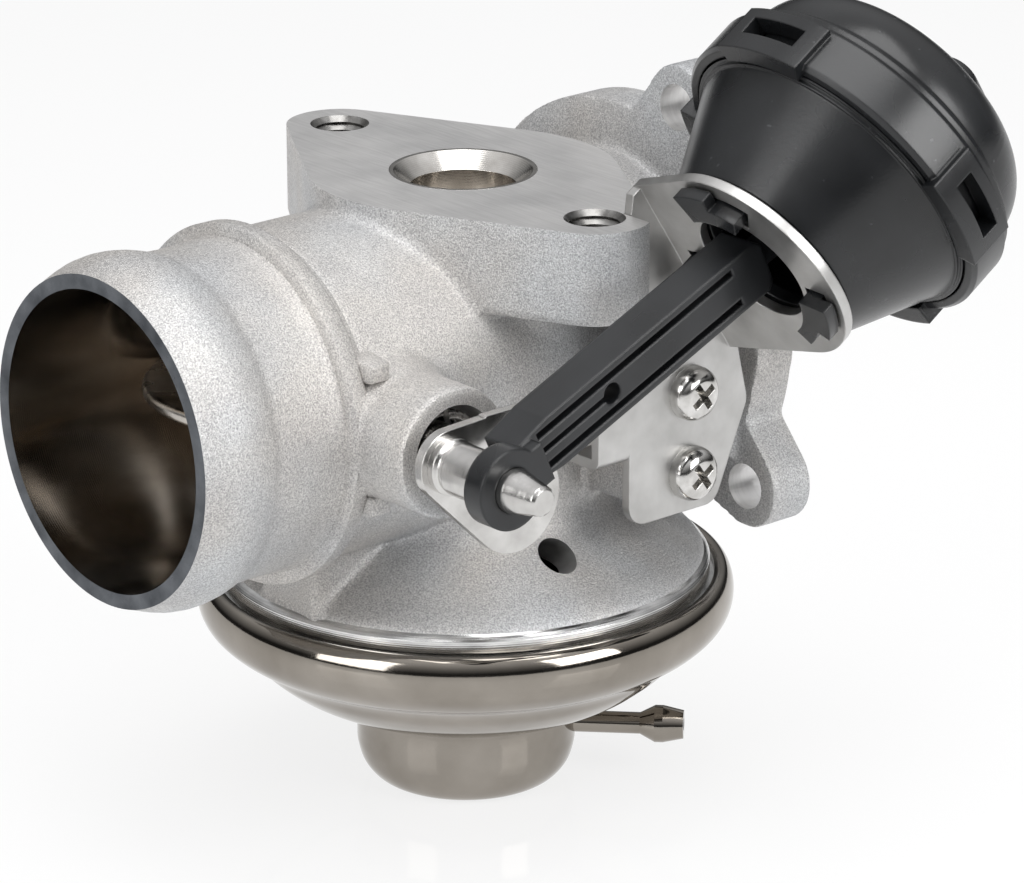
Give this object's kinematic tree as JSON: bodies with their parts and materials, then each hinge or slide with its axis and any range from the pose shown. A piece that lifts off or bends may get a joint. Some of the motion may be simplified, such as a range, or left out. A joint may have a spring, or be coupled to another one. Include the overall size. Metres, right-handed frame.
{
  "type": "egr valve",
  "caption": "Vacuum operated exhaust gas recirculation valve in a cast throttle body with a poppet, an air shut-off flap, its lever, link rod and actuator.",
  "frame": {"origin": "centre of the exhaust inlet on the machined face of the pipe flange", "axes": "+Z out of the pipe flange, -Y out of the hose spigot, +Y into the manifold, +X towards the flap lever"},
  "size_m": [0.1158, 0.1161, 0.1219],
  "materials": {
    "housing": "as cast, blasted, machined faces",
    "seat": "turned",
    "steel": "satin",
    "plated": "bright nickel",
    "black_plastic": "moulded, glass filled",
    "rod_plastic": "moulded, semi matt",
    "rubber": "matt",
    "bronze": "sintered",
    "zinc": "bright zinc"
  },
  "bodies": {
    "valve_body": {"housing": "housing", "seat_ring": "seat", "valve_guide": "bronze", "stem_seal": "rubber", "can_body": "plated", "can_nipple": "plated", "clamp_ring": "steel", "valve_diaphragm": "rubber", "valve_spring": "steel", "lever_bush": "bronze", "blind_bush": "bronze", "shaft_seal": "rubber", "shaft_plug": "steel", "actuator_bracket": "zinc", "bracket_screws": "plated", "actuator_housing": "black_plastic", "actuator_cover": "black_plastic", "manifold_seal": "rubber", "actuator_diaphragm": "rubber", "actuator_spring": "steel", "lever_spring": "steel"},
    "poppet": {"poppet_valve": "seat", "spring_cup": "steel", "stem_rivet": "steel"},
    "flap": {"flap_shaft": "steel", "flap_plate": "steel", "flap_screws": "steel", "lever_plate": "zinc", "crank_pin": "steel"},
    "rod": {"link_rod": "rod_plastic"},
    "piston": {"actuator_piston": "black_plastic"}
  },
  "joints": [
    {"name": "valve_lift", "type": "slide", "parent": "valve_body", "child": "poppet", "axis": [0, 0, -1], "range_m": [0, 0.006], "stiffness_N_per_m": 1500, "springref_m": -0.004, "deforming": ["valve_spring", "valve_diaphragm"]},
    {"name": "flap_turn", "type": "hinge", "parent": "valve_body", "child": "flap", "pos_m": [0, -0.0314, -0.026], "axis": [-1, 0, 0], "range_deg": [0, 85], "stiffness_Nm_per_rad": 0.05, "springref_deg": -28.65, "deforming": ["lever_spring"]},
    {"name": "rod_swing", "type": "hinge", "parent": "flap", "child": "rod", "pos_m": [0.049, -0.0377, -0.0244], "axis": [-1, 0, 0], "range_deg": [-86, 1]},
    {"name": "actuator_stroke", "type": "slide", "parent": "valve_body", "child": "piston", "axis": [0, 0.8387, 0.5446], "range_m": [0, 0.00898], "deforming": ["actuator_spring", "actuator_diaphragm"]}
  ],
  "couplings": [
    {"joint": "rod_swing", "follows": "flap_turn", "ratio": -1},
    {"joint": "actuator_stroke", "follows": "flap_turn", "m_per_rad": 0.0059201}
  ]
}
